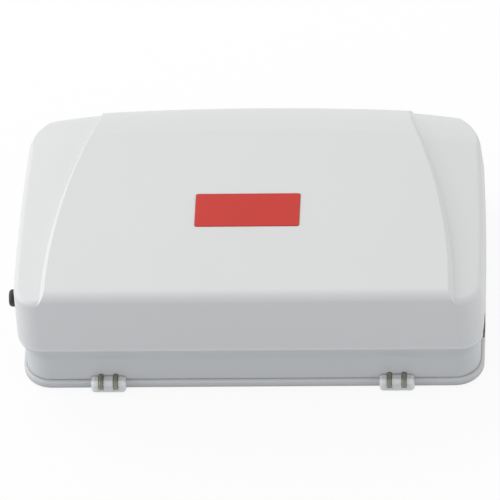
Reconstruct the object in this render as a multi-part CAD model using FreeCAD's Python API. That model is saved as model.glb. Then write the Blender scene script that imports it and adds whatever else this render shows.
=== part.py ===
import FreeCAD, Part
import math
import os
from FreeCAD import Vector as V

# Water leak alarm, lying on its base on the floor.
# X runs along the casing to the right, Y to the back, Z up. The origin is on the underside, at the
# middle of the casing. All sizes are in millimetres.

os.makedirs("parts", exist_ok=True)

# Casing
case_w = 165.0
case_d = 95.3
case_h = 49.0
seam_z = 20.8
wall = 2.2
front_corner_r = 9.0
back_corner_r = 9.0
top_corner_r = 20.0
back_bow_r = 875.0
side_straight = 16.65
side_bow = 2.8
top_side_bow = 4.0
side_draft = 0.4
front_draft = 0.5
seam_edge_r = 0.5

# Cover: crowned shoulders, raised arched panel
crown_r = 650.0
crown_rise = 0.9
shoulder_edge_r = 2.2
shoulder_lag = 0.3
shoulder_skim = 0.05
shoulder_steps = 7
shoulder_columns = 8
shoulder_last_deg = 84
back_edge_r = 12.0
camber_r = 60.0
camber_deg = 12.0
panel_front_r = 3.5
shoulder_w = 11.7
arch_front_r = 231.6
arch_back_r = 198.4
arch_turn_y = 10.0
riser_slope_deg = 30.0
panel_root = 12.0
pocket_back = 2.0
post_bite = 1.0
spare = 30.0

# Lower case: the walls tuck in under the seam
tuck_side = 1.9
tuck_front = 0.95
tuck_height = 6.5
tuck_steps = 5
low_draft = 0.25
tongue_h = 2.0
tongue_t = 1.1
tongue_root = 3.0

# Base plate, its rim and the gasket over it
plate_t = 3.2
rim_side = 1.2
rim_front = 1.3
rim_edge_r = 0.9
gasket_t = 0.4
gasket_w = 1.5
gasket_inset = 0.35
locate_rib_t = 1.4
locate_rib_h = 2.4

# Sensing tabs on the front and their wires
tab_in = 31.5
tab_w = 12.4
tab_out = 2.6
tab_low = 0.9
tab_top = 5.5
tab_corner_r = 1.7
tab_brow_r = 1.5
wire_d = 1.4
wire_pitch = 5.2
wire_low = 2.4
wire_bend_r = 1.6
wire_rise_y = 6.6
wire_sink = 0.45

# Circuit board
board_side = 6.5
board_front = 4.6
board_back_y = -2.6
board_t = 1.6
board_top = 17.8
board_corner_r = 4.0
axis_over_board = 3.0

# Test button on the left wall
button_d = 6.2
button_proud = 3.8
button_back = 24.4
button_edge_r = 1.2
button_flange_w = 0.7
button_flange_t = 0.9
button_stem_d = 3.0
button_stem_l = 4.4
button_travel = 1.5
switch_w = 7.4
switch_h = 6.4
switch_l = 8.0
switch_bore_l = 5.2

# Socket for an outside sensor on the right wall
socket_d = 8.8
socket_bore_d = 3.6
socket_depth = 14.0
socket_back = 10.4
socket_recess = 1.0
socket_w = 8.4
socket_h = 6.2
socket_end_t = 1.2

# Battery bay, four cells in two rows, loaded from below
cell_d = 14.5
cell_l = 50.5
cell_nub_d = 5.4
cell_nub_l = 1.0
cell_edge_r = 0.6
cell_play = 0.2
row_gap = 1.0
bay_back = 10.65
bay_wall = 1.6
spring_room = 6.0
spring_wire = 0.8
spring_turns = 4.0
spring_steps = 12
spring_d = 8.6
spring_tip_d = 6.4
contact_t = 0.4
contact_w = 9.0
contact_h = 10.0
contact_tab_w = 4.0
contact_rise = 3.2
link_corner_r = 1.5

# Sliding battery door
door_t = 1.6
door_low = 0.3
door_side = 3.0
door_front = 2.6
door_tongue_w = 1.2
door_tongue_t = 0.9
door_ribs = 7
door_rib_w = 1.4
door_rib_pitch = 3.0
door_rib_l = 9.0
door_rib_back = 5.0
door_rib_deep = 0.5

# Siren under the cover
siren_d = 38.0
siren_h = 9.0
siren_wall = 1.5
siren_edge_r = 1.5
siren_rim_t = 2.35
siren_drop = 4.4
siren_gap = 0.45
ear_d = 6.4
ear_t = 1.6
disc_t = 0.3
disc_ceramic_d = 23.0
disc_ceramic_t = 0.25
disc_depth = 5.0
ring_t = 1.2
ring_w = 2.2
slot_count = 9
slot_w = 1.8
slot_h = 8.0
slot_pitch = 4.4
slot_low = 24.0

# Screws
case_screw_d = 2.9
case_screw_l = 20.0
case_head_d = 5.6
case_head_t = 1.5
case_head_sunk = 0.2
case_post_d = 7.4
case_post_top = 11.6
front_post_gap = 1.6
front_post_back = 10.0
rear_post_gap = 1.0
rear_post_front = 14.15
small_screw_d = 2.2
small_screw_l = 7.0
small_head_d = 4.2
small_head_t = 1.4
small_post_d = 5.6
siren_screw_l = 4.4
tip_room = 0.5
board_post_in = 10.0
board_post_back = 6.9
front_board_post_x = 27.0
front_board_post_in = 4.45

# Label plate
label_w = 36.8
label_l = 15.0
label_t = 0.5
label_sunk = 0.25
label_x = -0.8
label_y = -7.25
label_r = 0.7
label_edge = 0.12

# Pieces on the board
chip_w = 10.0
chip_t = 1.4
chip_x = -22.0
chip_y = -22.0
chip_legs = 8
driver_w = 5.0
driver_l = 6.2
driver_x = 2.0
driver_y = -24.0
driver_legs = 4
leg_w = 0.4
leg_out = 1.0
leg_h = 0.5
chip_stand = 0.2
chip_edge = 0.2
can_d = 8.0
can_h = 11.0
can_edge_r = 0.6
can_places = [(38.0, -22.0), (49.0, -24.0)]
coil_d = 9.0
coil_h = 7.0
coil_cheek_t = 1.3
coil_cheek_w = 0.6
coil_x = 22.0
coil_y = -20.0
header_w = 7.6
header_l = 5.0
header_h = 5.6
header_in = 1.0
header_lip = 1.1
key_w = 1.0
key_deep = 0.8
plastic_edge = 0.4
battery_header_in = 6.0
siren_header_x = -4.0
lead_gap = 2.5
lead_d = 1.3
lead_bend_r = 4.0
resistor_l = 2.0
resistor_w = 1.25
resistor_t = 0.6
resistor_count = 8
resistor_pitch = 4.0
resistor_x = -10.0
resistor_y = -29.05

# Fits
fit = 0.15
slip = 0.3
pilot = 0.05
stem_play = 0.08
touch = 0.05

y_front = -case_d / 2
y_back = case_d / 2
low_bottom = plate_t + gasket_t
board_low = board_top - board_t
board_y0 = y_front + board_front
axis_z = board_top + axis_over_board
side_turn_y = y_front + side_straight
arch_front_half = case_w / 2 - shoulder_w
board_half = case_w / 2 - board_side
row_pitch = cell_d + row_gap
bay_half = cell_l + contact_t + spring_room / 2 + cell_play / 2
bay_y = y_back - bay_back - row_pitch / 2 - cell_d / 2
bay_y0 = bay_y - row_pitch / 2 - cell_d / 2 - slip
bay_y1 = bay_y + row_pitch / 2 + cell_d / 2 + slip
door_top = door_low + door_t
recess_top = door_top + fit
cell_z = recess_top + slip + cell_d / 2
bay_ceiling = cell_z + cell_d / 2 + slip
bay_roof = bay_ceiling + bay_wall
tab_front = y_front + tuck_front + low_draft - rim_front - tab_out
wire_z = tab_top + wire_d / 2 - wire_sink
wire_y = tab_front - wire_d / 2 + wire_sink
wire_back = y_front + wire_rise_y
flange_x = -case_w / 2 + wall + fit + tongue_t + slip
switch_x = flange_x + button_flange_t + button_travel + slip
socket_face = case_w / 2 - socket_recess
socket_end = socket_face - socket_depth - socket_end_t
tab_x = case_w / 2 - tab_in
front_post_x = socket_end - front_post_gap - case_post_d / 2
rear_post_x = bay_half + door_side + door_tongue_w + rear_post_gap + case_post_d / 2
rear_post_y = y_back - rear_post_front
battery_header_x = bay_half - battery_header_in
siren_top = case_h - siren_drop
siren_low = siren_top - siren_h
siren_mouth_d = siren_d - 2 * siren_rim_t
disc_d = siren_mouth_d - 2 * fit
pocket_y = y_back - back_edge_r - wall - pocket_back
siren_y = pocket_y - siren_gap - siren_d / 2
disc_z = siren_top - disc_depth
siren_screw_x = siren_d / 2 + ear_d / 2
lead_z = board_top + header_h - lead_d


def save(name, shape):
    shape = shape.removeSplitter()
    shape.exportStep("parts/%s.step" % name)
    print("%-18s solids %d  volume %.1f  valid %s" % (name, len(shape.Solids), shape.Volume, shape.isValid()))
    return shape


def box(x0, x1, y0, y1, z0, z1):
    return Part.makeBox(x1 - x0, y1 - y0, z1 - z0, V(x0, y0, z0))


def rod(diameter, z0, z1, x, y):
    return Part.makeCylinder(diameter / 2, z1 - z0, V(x, y, z0))


def rod_x(diameter, x0, x1, y, z):
    return Part.makeCylinder(diameter / 2, x1 - x0, V(x0, y, z), V(1, 0, 0))


def fuse(shapes):
    return shapes[0].multiFuse(shapes[1:]) if len(shapes) > 1 else shapes[0]


def line(a, b):
    return Part.LineSegment(a, b).toShape()


def arc(cx, cy, r, start, end, z):
    """Arc in a level plane about (cx, cy), angles in degrees."""
    points = []
    for angle in (start, (start + end) / 2, end):
        t = math.radians(angle)
        points.append(V(cx + r * math.cos(t), cy + r * math.sin(t), z))
    return Part.Arc(*points).toShape()


def outline(half, front, back, front_r, rear_r, bow, z):
    """Plan of the casing: straight front, sides that bow in towards the back, back bowed out."""
    side_r = (y_back - side_turn_y) ** 2 / (2 * bow)
    side_x = half - side_r
    bow_y = back - back_bow_r
    dx = -side_x
    dy = bow_y - side_turn_y
    apart = math.hypot(dx, dy)
    along = ((side_r - rear_r) ** 2 - (back_bow_r - rear_r) ** 2 + apart ** 2) / (2 * apart)
    across = math.sqrt((side_r - rear_r) ** 2 - along ** 2)
    corner_x = side_x + (along * dx - across * dy) / apart
    corner_y = side_turn_y + (along * dy + across * dx) / apart
    side_turn = math.degrees(math.atan2(corner_y - side_turn_y, corner_x - side_x))
    back_turn = math.degrees(math.atan2(corner_y - bow_y, corner_x))
    edges = [
        line(V(front_r - half, front, z), V(half - front_r, front, z)),
        arc(half - front_r, front + front_r, front_r, -90, 0, z),
        line(V(half, front + front_r, z), V(half, side_turn_y, z)),
        arc(side_x, side_turn_y, side_r, 0, side_turn, z),
        arc(corner_x, corner_y, rear_r, side_turn, back_turn, z),
        arc(0, bow_y, back_bow_r, back_turn, 180 - back_turn, z),
        arc(-corner_x, corner_y, rear_r, 180 - back_turn, 180 - side_turn, z),
        arc(-side_x, side_turn_y, side_r, 180 - side_turn, 180, z),
        line(V(-half, side_turn_y, z), V(-half, front + front_r, z)),
        arc(front_r - half, front + front_r, front_r, 180, 270, z),
    ]
    return Part.Wire(edges)


def slab(half, front, back, front_r, rear_r, bow, z0, z1):
    face = Part.Face(outline(half, front, back, front_r, rear_r, bow, z0))
    return face.extrude(V(0, 0, z1 - z0))


def back_slope(tilt):
    """Inset from the back wall and drop from the top where the cover leans back by tilt degrees."""
    s = math.sin(math.radians(tilt))
    c = math.cos(math.radians(tilt))
    turn_s = math.sin(math.radians(camber_deg))
    turn_c = math.cos(math.radians(camber_deg))
    if tilt >= camber_deg:
        return back_edge_r * (1 - s), camber_r * (1 - turn_c) + back_edge_r * (turn_c - c)
    return back_edge_r * (1 - turn_s) + camber_r * (turn_s - s), camber_r * (1 - c)


def cover_size(z, back_in, inset):
    """Half width, front, back, corner radii and side bow of the cover at a height."""
    k = (z - seam_z) / (case_h - seam_z)
    half = case_w / 2 - side_draft * k - inset
    front = y_front + front_draft * k + inset
    back = y_back - back_in - inset
    rear_r = back_corner_r + (top_corner_r - back_corner_r) * k - inset
    bow = side_bow + (top_side_bow - side_bow) * k
    return half, front, back, front_corner_r - inset, rear_r, bow


def hull(inset):
    """Cover form by level sections: drafted walls, then the back rolled over; inset makes the cavity."""
    last_tilt = camber_deg / 3
    last_drop = back_slope(last_tilt)[1]
    rolled = []
    for tilt in (90, 70, 50, 30, camber_deg, last_tilt):
        back_in, drop = back_slope(tilt)
        z = case_h - drop + last_drop
        rolled.append(outline(*cover_size(z, back_in, inset), z))
    seam = outline(*cover_size(seam_z, 0, inset), seam_z)
    upright = Part.makeLoft([seam, rolled[0]], True, True)
    return upright.fuse(Part.makeLoft(rolled, True, False)).removeSplitter()


def crown_z(x):
    return case_h + crown_rise - crown_r + math.sqrt(crown_r ** 2 - x ** 2)


def over_crown():
    """Everything above the crown that carries the shoulders from front to back."""
    far = case_w / 2 + shoulder_w / 2
    y0 = y_front - wall
    high = case_h + spare
    z = crown_z(far)
    wire = Part.Wire([
        line(V(-far, y0, high), V(far, y0, high)),
        line(V(far, y0, high), V(far, y0, z)),
        Part.Arc(V(far, y0, z), V(0, y0, crown_z(0)), V(-far, y0, z)).toShape(),
        line(V(-far, y0, z), V(-far, y0, high)),
    ])
    return Part.Face(wire).extrude(V(0, case_d + 2 * wall, 0))


def shoulder_profile():
    """Places from front to back and drops of the shoulder surface along the middle line."""
    level = y_back + shoulder_lag - back_slope(0)[0]
    front = y_front - front_corner_r
    profile = [(front + (level - front) * k / shoulder_steps, 0) for k in range(shoulder_steps + 1)]
    for tilt in list(range(3, 15, 3)) + list(range(20, 81, 10)) + [shoulder_last_deg]:
        back_in, drop = back_slope(tilt)
        profile.append((y_back + shoulder_lag - back_in, drop))
    y, drop = profile[-1]
    for run in (8, 16):
        t = math.radians(shoulder_last_deg)
        profile.append((y + run * math.cos(t), drop + run * math.sin(t)))
    return profile


def over_shoulder():
    """Everything above the shoulders' own back: level with the crown, then rolled over like the panel."""
    far = case_w / 2 + shoulder_w / 2
    rows = []
    for i in range(shoulder_columns + 1):
        x = far * (2 * i / shoulder_columns - 1)
        bow = back_bow_r - math.sqrt(back_bow_r ** 2 - x ** 2)
        z = crown_z(x) + shoulder_skim
        rows.append([V(x, y - bow, z - drop) for y, drop in shoulder_profile()])
    surface = Part.BSplineSurface()
    surface.interpolate(rows)
    return surface.toShape().extrude(V(0, 0, spare))


def arch_half(y, out):
    """Half width of the raised panel at depth y, moved out by an offset."""
    turn_s = (arch_turn_y - y_front) / arch_front_r
    if y <= arch_turn_y:
        return arch_front_half - arch_front_r + math.sqrt(arch_front_r ** 2 - (y - y_front) ** 2) + out
    turn_c = math.sqrt(1 - turn_s ** 2)
    at_turn = arch_front_half - arch_front_r * (1 - turn_c)
    s = turn_s + (y - arch_turn_y) / arch_back_r
    return at_turn - arch_back_r * (turn_c - math.sqrt(1 - s ** 2)) + out


def arch_outline(out, z, front, back):
    """Level outline of the arched panel, its two side arcs moved out by an offset."""
    def side(y0, y1, sign):
        ym = (y0 + y1) / 2
        points = [V(sign * arch_half(y, out), y, z) for y in (y0, ym, y1)]
        return Part.Arc(*points).toShape()
    f = arch_half(front, out)
    b = arch_half(back, out)
    return Part.Wire([
        line(V(-f, front, z), V(f, front, z)),
        side(front, arch_turn_y, 1),
        side(arch_turn_y, back, 1),
        line(V(b, back, z), V(-b, back, z)),
        side(back, arch_turn_y, -1),
        side(arch_turn_y, front, -1),
    ])


def arch_prism(z0, z1):
    """Panel block with sloping sides: wider by the riser slope below the top."""
    spread = math.tan(math.radians(riser_slope_deg))
    low = arch_outline((case_h - z0) * spread, z0, y_front - 2, y_back + 2)
    high = arch_outline((case_h - z1) * spread, z1, y_front - 2, y_back + 2)
    return Part.makeLoft([low, high], True, True)


def edges_where(shape, test):
    chosen = []
    for edge in shape.Edges:
        mid = edge.valueAt((edge.FirstParameter + edge.LastParameter) / 2)
        if test(edge, mid):
            chosen.append(edge)
    return chosen


def panel_block():
    """The arched panel and what lies under it down to the seam."""
    foot = case_h - panel_root
    out = panel_root * math.tan(math.radians(riser_slope_deg))
    z0 = seam_z - 1
    low = Part.Face(arch_outline(out, z0, y_front - 2, y_back + 2)).extrude(V(0, 0, foot - z0))
    return arch_prism(foot, case_h + 1).fuse(low).removeSplitter()


def shoulder(body, sign):
    """One shoulder, rounded along its front, side and rear edges; sign picks the right or left one."""
    middle = arch_half(y_back, 0)
    x0, x1 = (middle, case_w) if sign > 0 else (-case_w, -middle)
    side = body.common(box(x0, x1, -case_d, case_d, 0, case_h + 1)).cut(over_crown())

    def on_crown(edge, mid):
        return abs(mid.z - crown_z(mid.x)) < 0.06 and abs(mid.x) > middle + 0.01

    return side.makeFillet(shoulder_edge_r, edges_where(side, on_crown))


def front_shaving(r, half):
    """What the rounded front edge of the panel takes off, tangent to the wall and to the top."""
    lean = front_draft / (case_h - seam_z)
    scale = math.sqrt(1 + lean ** 2)
    zc = case_h - r
    yc = y_front + lean * (zc - seam_z) + r * scale
    low = V(-half, yc - r / scale, zc + r * lean / scale)
    high = V(-half, yc, case_h)
    turn = math.radians(135)
    middle = V(-half, yc + r * math.cos(turn), zc + r * math.sin(turn))
    wire = Part.Wire([
        Part.Arc(low, middle, high).toShape(),
        line(high, V(-half, yc, case_h + 3)),
        line(V(-half, yc, case_h + 3), V(-half, y_front - 3, case_h + 3)),
        line(V(-half, y_front - 3, case_h + 3), V(-half, y_front - 3, low.z)),
        line(V(-half, y_front - 3, low.z), low),
    ])
    return Part.Face(wire).extrude(V(2 * half, 0, 0))


def front_posts():
    y = y_front + front_post_back
    return [(-front_post_x, y), (front_post_x, y)]


def rear_posts():
    return [(-rear_post_x, rear_post_y), (rear_post_x, rear_post_y)]


def board_posts():
    places = []
    side = (board_half - board_post_in, board_back_y - board_post_back)
    front = (front_board_post_x, board_y0 + front_board_post_in)
    for x, y in (side, front):
        places += [(-x, y), (x, y)]
    return places


def side_openings():
    """Holes through both mouldings at the seam: button on the left, socket on the right."""
    half = case_w / 2
    reach = 6
    button = rod_x(button_d + 2 * slip, -half - 1, reach - half, y_front + button_back, axis_z)
    jack = rod_x(socket_d + 2 * fit, half - reach, half + 1, y_front + socket_back, axis_z)
    return [button, jack]


def label_block(grow, z0, z1):
    w = label_w / 2 + grow
    d = label_l / 2 + grow
    block = box(label_x - w, label_x + w, label_y - d, label_y + d, z0, z1)
    upright = edges_where(block, lambda e, m: abs(m.z - (z0 + z1) / 2) < 0.001)
    return block.makeFillet(label_r + grow, upright)


def sound_slots():
    slots = []
    for i in range(slot_count):
        x = (i - (slot_count - 1) / 2) * slot_pitch
        y0 = y_back - 2 * wall
        slot = box(x - slot_w / 2, x + slot_w / 2, y0, y_back + wall, slot_low, slot_low + slot_h)
        ends = edges_where(slot, lambda e, m: abs(m.y - y_back + wall / 2) < 0.01)
        slots.append(slot.makeFillet(slot_w * 0.45, ends))
    return slots


def top_cover():
    """Arched panel raised over crowned shoulders, hollow, with its screw posts."""
    body = hull(0)
    block = panel_block()
    rolled = over_shoulder()
    sides = [shoulder(body, sign).cut(rolled).cut(block) for sign in (-1, 1)]
    shell = fuse([body.common(block)] + sides).removeSplitter()
    shell = shell.cut(front_shaving(panel_front_r, arch_front_half + panel_front_r))
    shelf = crown_z(case_w / 2 - wall) - wall - shoulder_edge_r / 2
    hollow = hull(wall).common(box(-case_w, case_w, -case_d, case_d, seam_z - 1, shelf))
    shell = shell.cut(hollow)
    inset = wall + panel_front_r / 2
    deep = arch_outline(-inset, shelf - 1, y_front + front_draft + inset, pocket_y)
    shell = shell.cut(Part.Face(deep).extrude(V(0, 0, case_h - wall - shelf + 1)))
    posts = [rod(case_post_d, case_post_top, case_h - wall / 2, x, y) for x, y in front_posts()]
    posts += [rod(case_post_d, case_post_top, shelf + post_bite, x, y) for x, y in rear_posts()]
    for x in (-siren_screw_x, siren_screw_x):
        posts.append(rod(small_post_d, siren_top, case_h - wall / 2, x, siren_y))
    shell = fuse([shell] + posts)
    cuts = side_openings() + sound_slots()
    for x, y in front_posts() + rear_posts():
        top = case_head_sunk + case_head_t + case_screw_l + tip_room
        cuts.append(rod(case_screw_d + 2 * pilot, case_post_top - 1, top, x, y))
    for x in (-siren_screw_x, siren_screw_x):
        top = siren_top + siren_screw_l - ear_t + tip_room
        cuts.append(rod(small_screw_d + 2 * pilot, siren_top - 1, top, x, siren_y))
    cuts.append(label_block(fit, case_h - label_sunk, case_h + 1))
    return shell.cut(fuse(cuts))


def low_size(z, inset):
    """Half width, front, back, corner radii and side bow of the lower case at a height."""
    depth = min((seam_z - z) / tuck_height, 1.0)
    bend = depth ** 2 * (3 - 2 * depth)
    lean = low_draft * (seam_z - z) / (seam_z - low_bottom)
    half = case_w / 2 - tuck_side * bend - lean - inset
    front = y_front + tuck_front * bend + lean + inset
    back = y_back - tuck_front * bend - lean - inset
    return half, front, back, front_corner_r - inset, back_corner_r - inset, side_bow


def low_loft(inset):
    """Lower case form: the curved tuck under the seam, then a nearly upright wall."""
    levels = [seam_z - tuck_height * k / tuck_steps for k in range(tuck_steps + 1)]
    curved = [outline(*low_size(z, inset), z) for z in levels]
    foot = outline(*low_size(low_bottom, inset), low_bottom)
    upright = Part.makeLoft([curved[-1], foot], True, True)
    return Part.makeLoft(curved, True, False).fuse(upright).removeSplitter()


def ring(size, inset_out, inset_in, z0, z1):
    """Upright band that follows the plan, between two insets from it."""
    half, front, back, rf, rb, bow = size
    bands = []
    for inset, over in ((inset_out, 0), (inset_in, 1)):
        plan = (half - inset, front + inset, back - inset, rf - inset, rb - inset, bow)
        bands.append(slab(*plan, z0 - over, z1 + over))
    return bands[0].cut(bands[1])


def wire_places():
    return [sign * tab_x + step * wire_pitch for sign in (-1, 1) for step in (-0.5, 0.5)]


def lower_case():
    """Wall between base plate and cover, tucked in under the seam; its tongue centres the cover."""
    body = low_loft(0)
    body = body.makeFillet(seam_edge_r, edges_where(body, lambda e, m: abs(m.z - seam_z) < 0.01))
    body = body.cut(low_loft(wall))
    inner = wall + fit
    tongue_top = seam_z + tongue_h
    tongue = ring(cover_size(tongue_top, 0, 0), inner, inner + tongue_t, seam_z - tongue_root, tongue_top)
    body = body.fuse(tongue)
    cuts = side_openings()
    for x in wire_places():
        cuts.append(Part.makeCylinder(wire_d / 2 + fit, wall + 4, V(x, y_front - 1, wire_z), V(0, 1, 0)))
    return body.cut(fuse(cuts))


def base_gasket():
    return ring(low_size(low_bottom, 0), gasket_inset, gasket_inset + gasket_w, plate_t, plate_t + gasket_t)


def bent_wire(x, d, low, riser):
    """Sensing wire: up the front of the tab, over it, in through the wall and up to the board."""
    r = wire_bend_r
    q = r * (1 - math.sqrt(0.5))
    edges = [
        line(V(x, wire_y, low), V(x, wire_y, wire_z - r)),
        Part.Arc(V(x, wire_y, wire_z - r), V(x, wire_y + q, wire_z - q), V(x, wire_y + r, wire_z)).toShape(),
        line(V(x, wire_y + r, wire_z), V(x, wire_back - r, wire_z)),
    ]
    if riser:
        y = wire_back
        turn = Part.Arc(V(x, y - r, wire_z), V(x, y - q, wire_z + q), V(x, y, wire_z + r))
        edges += [turn.toShape(), line(V(x, y, wire_z + r), V(x, y, board_top + 1))]
    section = Part.Wire([Part.makeCircle(d / 2, V(x, wire_y, low), V(0, 0, 1))])
    return Part.Wire(edges).makePipeShell([section], True, False)


def tab(x):
    """Drip tab on the rim: three rounded pads with two channels for the wires."""
    back = y_front + tuck_front - fit
    block = box(x - tab_w / 2, x + tab_w / 2, tab_front, back, tab_low, tab_top)
    middle = (tab_low + tab_top) / 2
    upright = edges_where(block, lambda e, m: m.y < tab_front + 0.01 and abs(m.z - middle) < 0.01)
    block = block.makeFillet(tab_corner_r, upright)
    brow = edges_where(block, lambda e, m: m.z > tab_top - 0.01 and m.y < back - 0.1)
    block = block.makeFillet(tab_brow_r, brow)
    for step in (-0.5, 0.5):
        block = block.cut(bent_wire(x + step * wire_pitch, wire_d + 2 * slip, tab_low - 1, False))
    return block


def door_recess():
    """Space for the door and its side tongues, open to the rear edge."""
    y0 = bay_y0 - door_front - fit
    half = bay_half + door_side + fit
    far = y_back + 5
    opening = box(-half, half, y0, far, -1, recess_top)
    groove_low = door_top - door_tongue_t - fit
    groove = box(-half - door_tongue_w, half + door_tongue_w, y0, far, groove_low, recess_top)
    return opening.fuse(groove)


def contact_rows():
    """Row centres and the end where each row's spring sits: -1 left, 1 right."""
    return [(bay_y - row_pitch / 2, -1), (bay_y + row_pitch / 2, 1)]


def base_plate():
    """Rimmed floor with the tabs, battery tray, screw posts and the runway of the door."""
    size = low_size(low_bottom, 0)
    half, front, back, rf, rb, bow = size
    rim = slab(half + rim_side, front - rim_front, back + rim_front, rf + rim_side, rb, bow, 0, plate_t)
    rim = rim.makeFillet(rim_edge_r, edges_where(rim, lambda e, m: m.z > plate_t - 0.01))
    rim = rim.makeChamfer(rim_edge_r / 2, edges_where(rim, lambda e, m: m.z < 0.01))
    inner = wall + slip
    solids = [rim, ring(size, inner, inner + locate_rib_t, plate_t - 1, plate_t + locate_rib_h)]
    solids += [tab(-tab_x), tab(tab_x)]
    end = bay_half + bay_wall
    solids.append(box(-end, end, bay_y0 - bay_wall, bay_y1 + bay_wall, plate_t - 0.5, bay_roof))
    solids += [rod(case_post_d, plate_t - 0.5, case_post_top, x, y) for x, y in front_posts() + rear_posts()]
    solids += [rod(small_post_d, plate_t - 0.5, board_low, x, y) for x, y in board_posts()]
    cuts = [box(-bay_half, bay_half, bay_y0, bay_y1, -1, bay_ceiling), door_recess()]
    head_seat = case_head_sunk + case_head_t
    for x, y in front_posts() + rear_posts():
        cuts.append(rod(case_screw_d + 2 * fit, -1, case_post_top + 1, x, y))
        cuts.append(rod(case_head_d + 2 * fit, -1, head_seat, x, y))
    for x, y in board_posts():
        low = board_top - small_screw_l - tip_room
        cuts.append(rod(small_screw_d + 2 * pilot, low, board_low + 1, x, y))
    for x in wire_places():
        notch_top = plate_t + locate_rib_h + 1
        cuts.append(box(x - wire_d, x + wire_d, y_front + wall, wire_back + wire_d, plate_t, notch_top))
    for y, side in contact_rows():
        w = contact_tab_w / 2 + fit
        cuts.append(box(bay_half - contact_t - fit, bay_half, y - w, y + w, bay_ceiling - 1, bay_roof + 1))
    return fuse(solids).cut(fuse(cuts))


def battery_door():
    """Door plate with side tongues, finger ribs, and the same bowed rear edge as the rim."""
    y0 = bay_y0 - door_front
    half = bay_half + door_side
    plate = box(-half, half, y0, y_back + 5, door_low, door_top)
    wide = half + door_tongue_w - fit
    tongues = box(-wide, wide, y0, bay_y1 + bay_wall, door_top - door_tongue_t, door_top)
    rim_half, front, back, rf, rb, bow = low_size(low_bottom, 0)
    edge = slab(rim_half, front, back + rim_front, rf, rb, bow, -1, plate_t)
    door = plate.fuse(tongues).common(edge)
    grips = []
    y1 = y_back - door_rib_back
    for i in range(door_ribs):
        x = (i - (door_ribs - 1) / 2) * door_rib_pitch
        x0 = x - door_rib_w / 2
        grips.append(box(x0, x0 + door_rib_w, y1 - door_rib_l, y1, door_low - 1, door_low + door_rib_deep))
    return door.cut(fuse(grips))


def cell(x, y, nub_side):
    """One cell along X from x, its nub on the side given."""
    can_x = x if nub_side > 0 else x + cell_nub_l
    can = rod_x(cell_d, can_x, can_x + cell_l - cell_nub_l, y, cell_z)
    can = can.makeFillet(cell_edge_r, edges_where(can, lambda e, m: e.Length > 2 * cell_d))
    nub_x = x + cell_l - cell_nub_l if nub_side > 0 else x
    return can.fuse(rod_x(cell_nub_d, nub_x, nub_x + cell_nub_l, y, cell_z))


def cells():
    made = []
    for y, spring_side in contact_rows():
        near = spring_side * (bay_half - contact_t - spring_room)
        for k in (0, 1):
            edge = near - spring_side * k * cell_l
            made.append(cell(min(edge, edge - spring_side * cell_l), y, -spring_side))
    return made


def battery_contacts():
    """The two end plates on the right, with solder tabs through the tray's roof."""
    made = []
    for y, side in contact_rows():
        w = contact_w / 2
        x = bay_half - contact_t
        plate = box(x, bay_half, y - w, y + w, cell_z - contact_h / 2, bay_ceiling - touch)
        w = contact_tab_w / 2
        made.append(plate.fuse(box(x, bay_half, y - w, y + w, cell_z, bay_roof + contact_rise)))
    return made


def battery_link():
    """Plate on the left that joins the two rows."""
    y0 = bay_y - row_pitch / 2 - contact_w / 2
    y1 = bay_y + row_pitch / 2 + contact_w / 2
    x = -bay_half
    plate = box(x, x + contact_t, y0, y1, cell_z - contact_h / 2, cell_z + contact_h / 2)
    corners = edges_where(plate, lambda e, m: abs(m.x - x - contact_t / 2) < 0.01)
    return plate.makeFillet(link_corner_r, corners)


def battery_springs():
    """Cone springs: one on the link plate, one on the right, each reaching to its cell."""
    made = []
    reach = spring_room - 2 * touch - spring_wire
    steps = int(spring_turns * spring_steps)
    for y, side in contact_rows():
        start = side * (bay_half - contact_t - touch - spring_wire / 2)
        points = []
        for i in range(steps + 1):
            done = i / steps
            r = (spring_d + (spring_tip_d - spring_d) * done) / 2
            turn = 2 * math.pi * spring_turns * done
            points.append(V(start - side * reach * done, y + r * math.cos(turn), cell_z + r * math.sin(turn)))
        curve = Part.BSplineCurve()
        curve.interpolate(points)
        along = curve.tangent(curve.FirstParameter)[0]
        section = Part.Wire([Part.makeCircle(spring_wire / 2, points[0], along)])
        made.append(Part.Wire([curve.toShape()]).makePipeShell([section], True, False))
    return made


def label_plate():
    z0 = case_h - label_sunk
    plate = label_block(0, z0, z0 + label_t)
    return plate.makeChamfer(label_edge, edges_where(plate, lambda e, m: m.z > z0 + label_t - 0.001))


def main_board():
    board = box(-board_half, board_half, board_y0, board_back_y, board_low, board_top)
    upright = edges_where(board, lambda e, m: abs(m.z - (board_low + board_top) / 2) < 0.01)
    board = board.makeFillet(board_corner_r, upright)
    cuts = [rod(case_post_d + 4 * slip, board_low - 1, board_top + 1, x, y) for x, y in front_posts()]
    cuts += [rod(small_screw_d + 2 * fit, board_low - 1, board_top + 1, x, y) for x, y in board_posts()]
    cuts += [rod(wire_d + 2 * pilot, board_low - 1, board_top + 1, x, wire_back) for x in wire_places()]
    return board.cut(fuse(cuts))


def screw(x, y, seat_z, way, head_d, head_t, shank_d, length):
    """Cross-slot screw; its shank leaves the seat upwards (way 1) or downwards (way -1)."""
    far = seat_z - way * head_t
    tip = seat_z + way * length
    head = rod(head_d, min(seat_z, far), max(seat_z, far), x, y)
    head = head.makeFillet(head_t * 0.45, edges_where(head, lambda e, m: abs(m.z - far) < 0.001))
    shank = rod(shank_d, min(seat_z, tip), max(seat_z, tip), x, y)
    shank = shank.makeChamfer(shank_d * 0.2, edges_where(shank, lambda e, m: abs(m.z - tip) < 0.001))
    z0 = min(far, far + way * head_t / 2)
    z1 = max(far, far + way * head_t / 2)
    a = head_d * 0.3
    b = head_d * 0.08
    cross = box(x - a, x + a, y - b, y + b, z0, z1).fuse(box(x - b, x + b, y - a, y + a, z0, z1))
    return head.fuse(shank).cut(cross)


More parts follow.
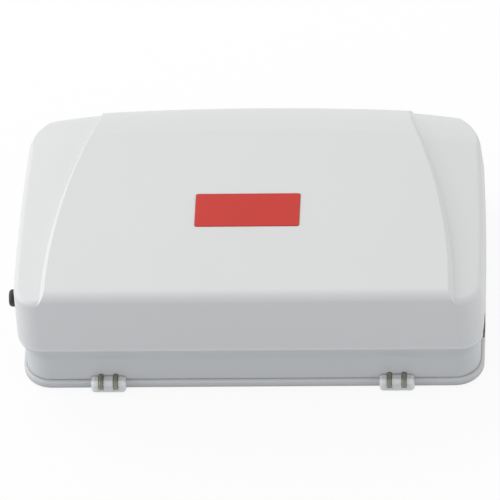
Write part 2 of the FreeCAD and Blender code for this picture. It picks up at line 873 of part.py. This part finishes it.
def case_screws():
    seat = case_head_sunk + case_head_t
    return [screw(x, y, seat, 1, case_head_d, case_head_t, case_screw_d, case_screw_l)
            for x, y in front_posts() + rear_posts()]


def board_screws():
    return [screw(x, y, board_top, -1, small_head_d, small_head_t, small_screw_d, small_screw_l)
            for x, y in board_posts()]


def siren_screws():
    return [screw(x, siren_y, siren_top - ear_t, 1, small_head_d, small_head_t, small_screw_d, siren_screw_l)
            for x in (-siren_screw_x, siren_screw_x)]


def test_button():
    """Rounded cap outside, flange behind the wall and the stem that enters the switch."""
    y = y_front + button_back
    tip = -case_w / 2 - button_proud
    cap = rod_x(button_d, tip, flange_x, y, axis_z)
    cap = cap.makeFillet(button_edge_r, edges_where(cap, lambda e, m: m.x < tip + 0.01))
    flange = rod_x(button_d + 2 * button_flange_w, flange_x, flange_x + button_flange_t, y, axis_z)
    stem = rod_x(button_stem_d, flange_x, flange_x + button_stem_l, y, axis_z)
    return fuse([cap, flange, stem])


def push_switch():
    y = y_front + button_back
    w = switch_w / 2
    body = box(switch_x, switch_x + switch_l, y - w, y + w, board_top, board_top + switch_h)
    body = body.makeChamfer(plastic_edge, edges_where(body, lambda e, m: m.z > board_top + switch_h - 0.01))
    return body.cut(rod_x(button_stem_d + 2 * stem_play, switch_x - 1, switch_x + switch_bore_l, y, axis_z))


def sensor_socket():
    """Round nose in the wall opening, square body on the board, one bore through both."""
    y = y_front + socket_back
    nose_back = board_half + slip
    nose = rod_x(socket_d, nose_back, socket_face, y, axis_z)
    nose = nose.makeChamfer(plastic_edge, edges_where(nose, lambda e, m: m.x > socket_face - 0.01))
    w = socket_w / 2
    body = box(socket_end, nose_back, y - w, y + w, board_top, board_top + socket_h)
    body = body.makeChamfer(plastic_edge, edges_where(body, lambda e, m: m.z > board_top + socket_h - 0.01))
    bore = rod_x(socket_bore_d, socket_face - socket_depth, socket_face + 1, y, axis_z)
    return nose.fuse(body).cut(bore)


def siren_housing():
    """Cup with its mouth down, a ledge inside for the disc and two screw ears."""
    cup = rod(siren_d, siren_low, siren_top, 0, siren_y)
    rim = edges_where(cup, lambda e, m: m.z > siren_top - 0.01 and e.Length > siren_d)
    cup = cup.makeFillet(siren_edge_r, rim)
    x = siren_screw_x
    bar = box(-x, x, siren_y - ear_d / 2, siren_y + ear_d / 2, siren_top - ear_t, siren_top)
    ends = [rod(ear_d, siren_top - ear_t, siren_top, sign * x, siren_y) for sign in (-1, 1)]
    cuts = [rod(siren_mouth_d, siren_low - 1, disc_z + disc_t, 0, siren_y)]
    cuts.append(rod(siren_mouth_d - 2 * ring_w, siren_low, siren_top - siren_wall, 0, siren_y))
    cuts += [rod(small_screw_d + 2 * fit, siren_low, siren_top + 1, sign * x, siren_y) for sign in (-1, 1)]
    return fuse([cup, bar] + ends).cut(fuse(cuts))


def siren_disc():
    """Metal disc against the ledge with the smaller ceramic disc bonded under it."""
    plate = rod(disc_d, disc_z, disc_z + disc_t, 0, siren_y)
    return plate.fuse(rod(disc_ceramic_d, disc_z - disc_ceramic_t, disc_z, 0, siren_y))


def siren_ring():
    """Ring pressed in under the disc to hold it at its edge."""
    outer = rod(disc_d, disc_z - ring_t, disc_z, 0, siren_y)
    return outer.cut(rod(disc_d - 2 * ring_w, siren_low - 1, disc_z + 1, 0, siren_y))


def chip(x, y, w, l, legs, four_sides):
    """Flat package with bent legs on two or four sides."""
    z = board_top + chip_stand
    body = box(x - w / 2, x + w / 2, y - l / 2, y + l / 2, z, z + chip_t)
    body = body.makeChamfer(chip_edge, edges_where(body, lambda e, m: m.z > z + chip_t - 0.01))
    feet = []
    for i in range(legs):
        step = (i - (legs - 1) / 2) * (w - leg_out) / legs
        for side in (-1, 1):
            y0 = y + side * l / 2
            y1 = y0 + side * leg_out
            u = x + step - leg_w / 2
            feet.append(box(u, u + leg_w, min(y0, y1), max(y0, y1), board_top, board_top + leg_h))
            if four_sides:
                x0 = x + side * w / 2
                x1 = x0 + side * leg_out
                v = y + step - leg_w / 2
                feet.append(box(min(x0, x1), max(x0, x1), v, v + leg_w, board_top, board_top + leg_h))
    return fuse([body] + feet)


def capacitors():
    """Two upright cans on the supply."""
    cans = []
    for x, y in can_places:
        can = rod(can_d, board_top, board_top + can_h, x, y)
        cans.append(can.makeFillet(can_edge_r, edges_where(can, lambda e, m: m.z > board_top + can_h - 0.01)))
    return cans


def boost_coil():
    """Drum core: two flanges with the winding between them."""
    cheek = coil_cheek_t
    low = rod(coil_d, board_top, board_top + cheek, coil_x, coil_y)
    high = rod(coil_d, board_top + coil_h - cheek, board_top + coil_h, coil_x, coil_y)
    return fuse([low, rod(coil_d - 2 * coil_cheek_w, board_top, board_top + coil_h, coil_x, coil_y), high])


def header(x):
    """Connector block at the board's rear edge with two sockets for leads in its back."""
    y1 = board_back_y - header_in
    block = box(x - header_w / 2, x + header_w / 2, y1 - header_l, y1, board_top, board_top + header_h)
    top = edges_where(block, lambda e, m: m.z > board_top + header_h - 0.01)
    block = block.makeChamfer(plastic_edge, top)
    y0 = y1 - header_l
    z0 = board_top + header_lip
    z1 = board_top + header_h - header_lip
    keys = []
    for sign in (-1, 1):
        x0 = x + (sign * lead_gap - key_w) / 2
        keys.append(box(x0, x0 + key_w, y0, y0 + key_deep, z0, z1))
    return block.cut(fuse(keys))


def battery_lead(tab_y, x):
    """Lead from a contact's tab along X, then one bend and forward to the header."""
    x0 = bay_half - contact_t
    y1 = board_back_y - header_in
    r = lead_bend_r
    q = r * (1 - math.sqrt(0.5))
    edges = [
        line(V(x0, tab_y, lead_z), V(x + r, tab_y, lead_z)),
        Part.Arc(V(x + r, tab_y, lead_z), V(x + q, tab_y - q, lead_z), V(x, tab_y - r, lead_z)).toShape(),
        line(V(x, tab_y - r, lead_z), V(x, y1, lead_z)),
    ]
    section = Part.Wire([Part.makeCircle(lead_d / 2, V(x0, tab_y, lead_z), V(1, 0, 0))])
    return Part.Wire(edges).makePipeShell([section], True, False)


def siren_lead(x):
    """Lead hanging from the disc, one bend, then forward to the header."""
    y0 = siren_y - disc_ceramic_d / 4
    z0 = disc_z - disc_ceramic_t
    y1 = board_back_y - header_in
    r = lead_bend_r
    q = r * (1 - math.sqrt(0.5))
    edges = [
        line(V(x, y0, z0), V(x, y0, lead_z + r)),
        Part.Arc(V(x, y0, lead_z + r), V(x, y0 - q, lead_z + q), V(x, y0 - r, lead_z)).toShape(),
        line(V(x, y0 - r, lead_z), V(x, y1, lead_z)),
    ]
    section = Part.Wire([Part.makeCircle(lead_d / 2, V(x, y0, z0), V(0, 0, 1))])
    return Part.Wire(edges).makePipeShell([section], True, False)


def resistors():
    """Row of small surface parts between the chip and the coil."""
    row = []
    for i in range(resistor_count):
        x = resistor_x + i * resistor_pitch - resistor_w / 2
        y = resistor_y - resistor_l / 2
        row.append(box(x, x + resistor_w, y, y + resistor_l, board_top, board_top + resistor_t))
    return row


save("top_cover", top_cover())
save("lower_case", lower_case())
save("base_plate", base_plate())
save("base_gasket", base_gasket())
save("battery_door", battery_door())
save("label_plate", label_plate())
save("test_button", test_button())
save("push_switch", push_switch())
save("sensor_socket", sensor_socket())
for i, x in enumerate(wire_places()):
    save("sensing_wire_%d" % (i + 1), bent_wire(x, wire_d, wire_low, True))
for i, made in enumerate(cells()):
    save("battery_%d" % (i + 1), made)
save("battery_contacts", Part.makeCompound(battery_contacts()))
save("battery_link", battery_link())
save("battery_springs", Part.makeCompound(battery_springs()))
save("siren_housing", siren_housing())
save("siren_disc", siren_disc())
save("siren_ring", siren_ring())
save("main_board", main_board())
save("main_chip", chip(chip_x, chip_y, chip_w, chip_w, chip_legs, True))
save("driver_chip", chip(driver_x, driver_y, driver_w, driver_l - 2 * leg_out, driver_legs, False))
save("capacitors", Part.makeCompound(capacitors()))
save("boost_coil", boost_coil())
save("resistors", Part.makeCompound(resistors()))
save("battery_header", header(battery_header_x))
save("siren_header", header(siren_header_x))
row_a, row_b = [row[0] for row in contact_rows()]
save("lead_plus", battery_lead(row_a, battery_header_x + lead_gap / 2))
save("lead_minus", battery_lead(row_b, battery_header_x - lead_gap / 2))
save("siren_lead_1", siren_lead(siren_header_x - lead_gap / 2))
save("siren_lead_2", siren_lead(siren_header_x + lead_gap / 2))
save("case_screws", Part.makeCompound(case_screws()))
save("board_screws", Part.makeCompound(board_screws()))
save("siren_screws", Part.makeCompound(siren_screws()))
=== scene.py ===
import math

import bpy
from mathutils import Matrix, Vector


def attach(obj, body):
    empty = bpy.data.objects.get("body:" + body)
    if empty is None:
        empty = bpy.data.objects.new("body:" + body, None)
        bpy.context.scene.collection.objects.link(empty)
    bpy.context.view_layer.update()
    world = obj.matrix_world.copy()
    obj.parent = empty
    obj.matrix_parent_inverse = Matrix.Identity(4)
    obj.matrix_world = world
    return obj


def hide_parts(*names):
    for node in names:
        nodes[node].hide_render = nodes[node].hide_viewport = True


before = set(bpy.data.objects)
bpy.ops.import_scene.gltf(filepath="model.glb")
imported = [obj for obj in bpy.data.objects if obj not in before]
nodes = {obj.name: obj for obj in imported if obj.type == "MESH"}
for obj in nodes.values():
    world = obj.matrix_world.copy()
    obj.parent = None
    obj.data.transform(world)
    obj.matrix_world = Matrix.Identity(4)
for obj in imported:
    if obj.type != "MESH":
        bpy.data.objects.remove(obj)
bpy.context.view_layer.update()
bpy.ops.object.select_all(action="DESELECT")


# Camera: far off with a long lens, looking down at half a right angle from a little right of the
# front, and rolled so that the object's right end sits lower in the picture.
view_turn = math.radians(6.164)
view_height = math.radians(49.5)
view_roll = math.radians(5.105)
view_distance = 3.2
view_point = Vector((-0.00184, -0.00110, 0.020))
film_width_mm = 36.0
lens_mm = 649.3
seen_up_to = 20.0

bpy.ops.object.camera_add()
camera = bpy.context.object
camera.data.sensor_width = film_width_mm
camera.data.lens = lens_mm
camera.data.clip_end = seen_up_to
towards = Vector((
    math.sin(view_turn) * math.cos(view_height),
    -math.cos(view_turn) * math.cos(view_height),
    math.sin(view_height),
))
upright = towards.to_track_quat("Z", "Y").to_matrix().to_4x4()
stand = Matrix.Translation(view_point + view_distance * towards)
camera.matrix_world = stand @ upright @ Matrix.Rotation(-view_roll, 4, "Z")
bpy.context.scene.camera = camera
bpy.context.scene.view_settings.view_transform = "Standard"


# Studio: a pale floor under the object, broad lamps behind and low on both sides, and an even pale
# surround that fills in the front. The floor looks white to the camera and in what shines, and
# gives the object a fainter, slightly blue light from below.
class Socket:
    """A shader value that can be added and multiplied in plain arithmetic."""

    def __init__(self, finish, socket):
        self.finish = finish
        self.socket = socket

    def combine(self, operation, other):
        return self.finish.node("ShaderNodeMath", {"operation": operation}, {0: self, 1: other})

    def __add__(self, other):
        return self.combine("ADD", other)

    def __mul__(self, other):
        return self.combine("MULTIPLY", other)


class Finish:
    """A material that is put together node by node."""

    grain_depth = 0.00003

    def __init__(self, name):
        self.material = bpy.data.materials.new(name)
        self.material.use_nodes = True
        self.material.node_tree.nodes.clear()

    def node(self, kind, settings, values, output=0):
        """Adds a node, its values constants or other nodes' results. The last one gives the material."""
        made = self.material.node_tree.nodes.new(kind)
        for key, value in settings.items():
            setattr(made, key, value)
        for key, value in values.items():
            if isinstance(value, Socket):
                self.material.node_tree.links.new(value.socket, made.inputs[key])
            else:
                made.inputs[key].default_value = value
        return Socket(self, made.outputs[output]) if made.outputs else self.material

    def surface(self, shader):
        return self.node("ShaderNodeOutputMaterial", {}, {"Surface": shader})

    def place(self):
        return self.node("ShaderNodeTexCoord", {}, {}, output="Object")

    def noise(self, scale, detail=2.0, squeeze=None):
        """Cloudy pattern, finer with a larger scale, and squeezed along the axes where that is given."""
        where = self.place()
        if squeeze:
            where = self.node("ShaderNodeMapping", {}, {"Vector": where, "Scale": squeeze})
        values = {"Vector": where, "Scale": scale, "Detail": detail}
        return self.node("ShaderNodeTexNoise", {}, values)

    def along(self, axis):
        """How far the shaded point lies along an axis, in metres."""
        return self.node("ShaderNodeSeparateXYZ", {}, {"Vector": self.place()}, output=axis)

    def fade(self, value, start, end):
        """0 up to the start, rising evenly to 1 at the end."""
        values = {"Value": value, "From Min": start, "From Max": end}
        return self.node("ShaderNodeMapRange", {}, values)

    def mix(self, amount, one, other):
        """Colour between two. The node has its colours at sockets 6 and 7 and their mixture at 2."""
        one, other = (c if isinstance(c, Socket) else (*c, 1.0) for c in (one, other))
        values = {0: amount, 6: one, 7: other}
        return self.node("ShaderNodeMix", {"data_type": "RGBA"}, values, output=2)

    def bump(self, height, strength):
        values = {"Height": height, "Strength": strength, "Distance": self.grain_depth}
        return self.node("ShaderNodeBump", {}, values)

    def principled(self, **values):
        values = {key.replace("_", " "): value for key, value in values.items()}
        return self.node("ShaderNodeBsdfPrincipled", {}, values)


floor_shown = (1.0, 1.0, 1.0)
floor_bounce = (0.44, 0.47, 0.505)
floor_glow_share = 0.88
floor_size = 8.0
floor_level = -0.0002

bpy.ops.mesh.primitive_plane_add(size=floor_size, location=(0, 0, floor_level))
floor = bpy.context.object
floor.name = "studio_floor"
paper = Finish("studio_paper")
to_camera = paper.node("ShaderNodeLightPath", {}, {}, output="Is Camera Ray")
glossy = paper.node("ShaderNodeLightPath", {}, {}, output="Is Glossy Ray")
clear = paper.node("ShaderNodeLightPath", {}, {}, output="Is Transmission Ray")
seen = (to_camera + glossy + clear).combine("MINIMUM", 1.0)
lit = paper.principled(Base_Color=paper.mix(seen, floor_bounce, floor_shown), Roughness=0.9)
glow = paper.node("ShaderNodeEmission", {}, {"Color": (1, 1, 1, 1), "Strength": 1.0})
paper_skin = paper.node("ShaderNodeMixShader", {}, {0: seen * floor_glow_share, 1: lit, 2: glow})
floor.data.materials.append(paper.surface(paper_skin))


lamp_distance = 1.7


def lamp(name, aim, size, power):
    """Square soft lamp in the direction given, turned to the object."""
    aim = Vector(aim).normalized()
    facing = aim.to_track_quat("Z", "Y").to_matrix().to_4x4()
    bpy.ops.object.light_add(type="AREA")
    made = bpy.context.object
    made.name = name
    made.data.size = size
    made.data.energy = power
    made.matrix_world = Matrix.Translation(aim * lamp_distance) @ facing


lamp("back_left_lamp", (-0.7, 0.6, 0.8), size=1.1, power=8.4)
lamp("back_lamp", (0.3, 1.0, 0.35), size=1.1, power=3.4)
lamp("left_lamp", (-1.0, -0.18, 0.27), size=1.0, power=9.6)
lamp("right_lamp", (1.0, -0.3, 0.22), size=0.8, power=4.9)

surround_strength = 0.63
world = bpy.data.worlds.new("studio")
bpy.context.scene.world = world
world.use_nodes = True
surround = world.node_tree.nodes["Background"]
surround.inputs["Color"].default_value = (1, 1, 1, 1)
surround.inputs["Strength"].default_value = surround_strength


# Light grey casing mouldings: cover, lower case, base plate and battery door, in a satin plastic
# with the faint grain of a spark-eroded mould. A painted highlight runs along the seam, on the
# cover's lowest edge and the lower case's top edge, and the tabs' front faces are paler. The lower
# case is a darker grey than the cover and the foot a little darker still; low down, where the foot
# meets the floor, it is darkened further with painted shade.
seam_z = 0.0208
tab_x = 0.051
tab_reach = 0.0064
tab_face_y = -0.0486
# Heights over which the foot's painted shade comes in: none above the first, full below the second.
foot_unshaded_z = 0.0017
foot_shaded_z = 0.0006


def casing_finish(name, colour, pale, where, foot=None):
    """Satin moulding, pale where the mask says, and, where a foot colour is given, its lowest edge
    darkened with painted shade.
    """
    finish = Finish(name)
    grain = finish.noise(scale=2600.0)
    drift = finish.noise(scale=22.0)
    shade = finish.mix(drift, [c * 0.985 for c in colour], [min(c * 1.012, 1.0) for c in colour])
    # Painted shade: the foot's lowest edge, where it meets the floor, darkens towards the foot colour.
    if foot:
        shade = finish.mix(finish.fade(finish.along("Z"), foot_unshaded_z, foot_shaded_z), shade, foot)
    shade = finish.mix(where(finish), shade, pale)
    rough = drift * 0.06 + 0.40
    bump = finish.bump(grain, strength=0.12)
    skin = finish.principled(Base_Color=shade, Roughness=rough, Normal=bump, IOR=1.46)
    return finish.surface(skin)


# Painted highlight on the cover: paler over its lowest edge, just above the seam.
def seam_highlight(finish):
    return finish.fade(finish.along("Z"), seam_z + 0.0009, seam_z + 0.0002)


def at_tabs_and_seam_highlight(finish):
    # Paler on the tabs' front faces, and on the lower case a painted highlight at half strength along
    # its top edge, just below the seam.
    across = finish.node("ShaderNodeMath", {"operation": "ABSOLUTE"}, {0: finish.along("X")})
    near_tab = {0: across, 1: tab_x, 2: tab_reach}
    on_tab = finish.node("ShaderNodeMath", {"operation": "COMPARE"}, near_tab)
    below_seam_highlight = finish.fade(finish.along("Z"), seam_z - 0.0009, seam_z - 0.0005) * 0.5
    return finish.fade(finish.along("Y"), tab_face_y, tab_face_y - 0.0004) * on_tab + below_seam_highlight


def dress(material, *names):
    for name in names:
        nodes[name].data.materials.clear()
        nodes[name].data.materials.append(material)


tab_pale_and_seam_highlight = (0.85, 0.86, 0.87)
# One paler colour serves for the tab faces and for the painted highlight below the seam.
low_satin = casing_finish("casing_low_satin", (0.665, 0.675, 0.685), tab_pale_and_seam_highlight, at_tabs_and_seam_highlight)
# The cover's paler colour is its painted highlight along the seam.
top_satin = casing_finish("casing_satin", (0.76, 0.765, 0.77), (0.82, 0.825, 0.83), seam_highlight)
# The foot colour given here is the painted shade at the foot's lowest edge.
foot_satin = casing_finish(
    "casing_foot_satin", (0.63, 0.64, 0.65), tab_pale_and_seam_highlight, at_tabs_and_seam_highlight, foot=(0.51, 0.52, 0.53)
)
dress(top_satin, "top_cover")
dress(low_satin, "lower_case")
dress(foot_satin, "base_plate", "battery_door")


# Top cover: the upper grey moulding, screwed down from below. The shallow groove that its rolled
# shoulder leaves in the rear wall near both corners is filled flush, as on the real moulding.
merge_distance = 0.000001
cover_crease = math.radians(25.0)
groove_from_x = 0.0574
groove_from_y = 0.036
groove_low_z = 0.0273
groove_high_z = 0.0342


def only(thing):
    """Selects this object alone and makes it the active one."""
    bpy.ops.object.select_all(action="DESELECT")
    thing.select_set(True)
    bpy.context.view_layer.objects.active = thing


def pick_faces(mesh, wanted):
    """Goes into edit mode with just the wanted faces selected."""
    bpy.ops.object.mode_set(mode="EDIT")
    bpy.ops.mesh.select_mode(type="FACE")
    bpy.ops.mesh.select_all(action="DESELECT")
    bpy.ops.object.mode_set(mode="OBJECT")
    for face in mesh.polygons:
        face.select = wanted(face, [mesh.vertices[i].co for i in face.vertices])
    bpy.ops.object.mode_set(mode="EDIT")


def copied(node, name):
    """Copy of a CAD node with a mesh of its own, its doubles merged, left selected."""
    made = bpy.data.objects.new(name, nodes[node].data.copy())
    bpy.context.scene.collection.objects.link(made)
    only(made)
    bpy.ops.object.mode_set(mode="EDIT")
    bpy.ops.mesh.select_mode(type="VERT")
    bpy.ops.mesh.select_all(action="SELECT")
    bpy.ops.mesh.remove_doubles(threshold=merge_distance)
    bpy.ops.mesh.customdata_custom_splitnormals_clear()
    bpy.ops.object.mode_set(mode="OBJECT")
    return made


def in_groove(face, corners):
    """Outer face that lies in the groove with all its corners."""
    at_corner = all(abs(c.x) > groove_from_x and c.y > groove_from_y for c in corners)
    level = all(groove_low_z < c.z < groove_high_z for c in corners)
    return face.normal.y > 0.0 and at_corner and level


cover = copied("top_cover", "cover_moulding")
pick_faces(cover.data, in_groove)
bpy.ops.mesh.delete(type="FACE")
bpy.ops.mesh.select_mode(type="EDGE")
for side in (-1, 1):
    bpy.ops.mesh.select_all(action="DESELECT")
    bpy.ops.mesh.select_non_manifold(
        extend=False, use_wire=False, use_multi_face=False, use_non_contiguous=False, use_verts=False
    )
    bpy.ops.object.mode_set(mode="OBJECT")
    for edge in cover.data.edges:
        if edge.select and cover.data.vertices[edge.vertices[0]].co.x * side < 0:
            edge.select = False
    bpy.ops.object.mode_set(mode="EDIT")
    bpy.ops.mesh.fill()
bpy.ops.object.mode_set(mode="OBJECT")
bpy.ops.object.shade_smooth_by_angle(angle=cover_crease)
even = cover.modifiers.new("even_normals", "WEIGHTED_NORMAL")
even.keep_sharp = True
bpy.ops.object.modifier_apply(modifier=even.name)
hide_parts("top_cover")
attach(cover, "case")


# Label plate: thin plate of red plastic, stuck into its seat in the raised panel, smooth, with a
# soft gloss.
label = Finish("label_red")
label_tone = label.mix(label.noise(scale=35.0), (0.60, 0.032, 0.021), (0.64, 0.038, 0.025))
label_rough = label.noise(scale=500.0) * 0.1 + 0.32
label_skin = label.principled(Base_Color=label_tone, Roughness=label_rough)
dress(label.surface(label_skin), "label_plate")


# Push button, sensor socket and the push switch behind the button: moulded in black plastic, satin,
# with a fine mould grain.
def black_finish(name, level, rough):
    finish = Finish(name)
    grain = finish.noise(scale=1800.0)
    shade = finish.mix(grain, (level, level, level * 1.05), (level * 1.5, level * 1.5, level * 1.6))
    bump = finish.bump(grain, strength=0.15)
    skin = finish.principled(Base_Color=shade, Roughness=grain * 0.1 + rough, Normal=bump)
    return finish.surface(skin)


black = black_finish("black_satin", level=0.018, rough=0.38)
dress(black, "test_button", "sensor_socket", "push_switch")


# Socket collar: black plastic ring around the socket's mouth, pressed into the right end wall until
# it is level with the outside.
collar_middle = (0.0817, -0.03725, seam_z)
collar_r = 0.0044
collar_wall = 0.0016
collar_depth = 0.0013
collar_edge_r = 0.00025
towards_x = (0, math.pi / 2, 0)
crease = math.radians(35.0)

bpy.ops.object.select_all(action="DESELECT")
bpy.ops.mesh.primitive_cylinder_add(
    vertices=72, radius=collar_r, depth=collar_depth, location=collar_middle, rotation=towards_x
)
collar = bpy.context.object
collar.name = "socket_collar"
bpy.ops.object.transform_apply(location=True, rotation=True, scale=True)
pick_faces(collar.data, lambda face, corners: abs(face.normal.x) > 0.9)
bpy.ops.mesh.inset(thickness=collar_wall)
bpy.ops.mesh.bridge_edge_loops()
bpy.ops.mesh.select_all(action="SELECT")
bpy.ops.mesh.normals_make_consistent(inside=False)
bpy.ops.object.mode_set(mode="OBJECT")
rim = collar.modifiers.new("rim", "BEVEL")
rim.width = collar_edge_r
rim.segments = 3
rim.limit_method = "ANGLE"
rim.angle_limit = math.radians(40.0)
bpy.ops.object.modifier_apply(modifier=rim.name)
bpy.ops.object.shade_smooth_by_angle(angle=crease)
collar.data.materials.append(black)
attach(collar, "case")


# Sensing wires: bare brass wire, dulled and a little green with use, bent over the tab and cut off
# a little above its lower edge.
wire_end_z = 0.0032

dull = Finish("dulled_brass")
spots = dull.noise(scale=900.0, detail=3.0)
wire_tone = dull.mix(spots, (0.19, 0.190, 0.152), (0.34, 0.340, 0.275))
wire_rough = spots * 0.25 + 0.35
wire_skin = dull.principled(Base_Color=wire_tone, Roughness=wire_rough, Metallic=0.75)
wire_brass = dull.surface(wire_skin)


def cut_off(point, direction):
    """Cuts the active piece at a plane, keeps what the direction points to, and closes the cut."""
    bpy.ops.object.mode_set(mode="EDIT")
    bpy.ops.mesh.select_all(action="SELECT")
    bpy.ops.mesh.bisect(
        plane_co=point, plane_no=direction, use_fill=True, clear_inner=True, threshold=merge_distance
    )
    bpy.ops.object.mode_set(mode="OBJECT")
    bpy.ops.object.shade_smooth_by_angle(angle=crease)


for number in (1, 2, 3, 4):
    dress(wire_brass, f"sensing_wire_{number}")
    wire = copied(f"sensing_wire_{number}", f"cut_wire_{number}")
    cut_off((0, 0, wire_end_z), (0, 0, 1))
    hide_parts(f"sensing_wire_{number}")
    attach(wire, "case")


# Channel ends: the base moulding closes each wire's channel below the wire's end, flush with the
# pads, so that the tab's lower edge runs on unbroken.
channel_r = 0.00078
channel_step = 0.0026
channel_middle_y = -0.0506
channel_middle_z = 0.00203
channel_length = 0.00225
pad_front_y = -0.05035

bpy.ops.object.select_all(action="DESELECT")
ends = []
for x in (-tab_x - channel_step, -tab_x + channel_step, tab_x - channel_step, tab_x + channel_step):
    middle = (x, channel_middle_y, channel_middle_z)
    bpy.ops.mesh.primitive_cylinder_add(
        vertices=32, radius=channel_r, depth=channel_length, location=middle
    )
    ends.append(bpy.context.object)
for end in ends:
    end.select_set(True)
bpy.ops.object.join()
closing = bpy.context.object
closing.name = "channel_ends"
bpy.ops.object.transform_apply(location=True, rotation=True, scale=True)
cut_off((0, pad_front_y, 0), (0, 1, 0))
closing.data.materials.append(foot_satin)
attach(closing, "case")


# Gasket: flat cord of dark grey rubber, pressed between base plate and lower case, a little bloomed
# at its edge.
rubber = Finish("gasket_rubber")
bloom = rubber.noise(scale=300.0, detail=3.0)
rubber_tone = rubber.mix(bloom, (0.10, 0.10, 0.103), (0.16, 0.16, 0.163))
rubber_skin = rubber.principled(Base_Color=rubber_tone, Roughness=bloom * 0.2 + 0.65)
dress(rubber.surface(rubber_skin), "base_gasket")


# Penlight cells: steel cans in a plain dark blue film, which is shrunk on and lets the can shine
# through a little.
sleeve = Finish("cell_sleeve")
sleeve_drift = sleeve.noise(scale=60.0)
sleeve_tone = sleeve.mix(sleeve_drift, (0.035, 0.045, 0.075), (0.050, 0.062, 0.095))
sleeve_rough = sleeve_drift * 0.1 + 0.22
sleeve_skin = sleeve.principled(Base_Color=sleeve_tone, Roughness=sleeve_rough, Metallic=0.35)
dress(sleeve.surface(sleeve_skin), "battery_1", "battery_2", "battery_3", "battery_4")


# Contacts, link plate and springs of the battery bay, with the screws: steel, plated with nickel or
# zinc, and faintly streaked by drawing.
def plated_finish(name, colour, rough):
    finish = Finish(name)
    drawn = finish.noise(scale=400.0, detail=3.0, squeeze=(1.0, 1.0, 6.0))
    tone = finish.mix(drawn, [c * 0.85 for c in colour], colour)
    skin = finish.principled(Base_Color=tone, Roughness=drawn * 0.15 + rough, Metallic=1.0)
    return finish.surface(skin)


nickel = plated_finish("nickel_plate", (0.66, 0.64, 0.60), rough=0.22)
zinc = plated_finish("zinc_plate", (0.52, 0.53, 0.55), rough=0.30)
dress(nickel, "battery_contacts", "battery_link", "battery_springs")
dress(zinc, "case_screws", "board_screws", "siren_screws")


# Circuit board: glass cloth laminate under a shiny green lacquer, a little mottled by the cloth,
# screwed to four posts.
laminate = Finish("board_laminate")
cloth = laminate.noise(scale=700.0)
board_tone = laminate.mix(cloth, (0.012, 0.115, 0.042), (0.022, 0.165, 0.062))
board_rough = cloth * 0.1 + 0.28
board_skin = laminate.principled(Base_Color=board_tone, Roughness=board_rough, Coat_Weight=0.3)
dress(laminate.surface(board_skin), "main_board")


# Pieces soldered to the board: packages moulded in black, drawn aluminium cans, a coil of porous
# grey ferrite, and connectors moulded in ivory plastic.
package_black = black_finish("package_black", level=0.016, rough=0.5)
can_aluminium = plated_finish("can_aluminium", (0.62, 0.63, 0.65), rough=0.3)
dress(package_black, "main_chip", "driver_chip", "resistors")
dress(can_aluminium, "capacitors")
ferrite = Finish("ferrite_grey")
pores = ferrite.noise(scale=1500.0, detail=3.0)
ferrite_tone = ferrite.mix(pores, (0.045, 0.042, 0.040), (0.085, 0.08, 0.076))
ferrite_skin = ferrite.principled(Base_Color=ferrite_tone, Roughness=pores * 0.2 + 0.5)
dress(ferrite.surface(ferrite_skin), "boost_coil")


def plain_finish(name, colour, rough):
    finish = Finish(name)
    drift = finish.noise(scale=250.0)
    tone = finish.mix(drift, [c * 0.9 for c in colour], colour)
    return finish.surface(finish.principled(Base_Color=tone, Roughness=drift * 0.1 + rough))


connector_ivory = plain_finish("connector_ivory", (0.74, 0.71, 0.61), rough=0.42)
dress(connector_ivory, "battery_header", "siren_header")


# Siren and leads: a thin brass disc between a cup and a ring moulded in black, screwed under the
# cover, and soldered wires in red and black sleeves.
siren_black = black_finish("siren_black", level=0.020, rough=0.45)
disc_brass = plated_finish("disc_brass", (0.78, 0.62, 0.33), rough=0.25)
lead_red = plain_finish("lead_red", (0.46, 0.028, 0.025), rough=0.4)
lead_black = plain_finish("lead_black", (0.022, 0.022, 0.023), rough=0.4)
dress(siren_black, "siren_housing", "siren_ring")
dress(disc_brass, "siren_disc")
dress(lead_red, "lead_plus", "siren_lead_1")
dress(lead_black, "lead_minus", "siren_lead_2")
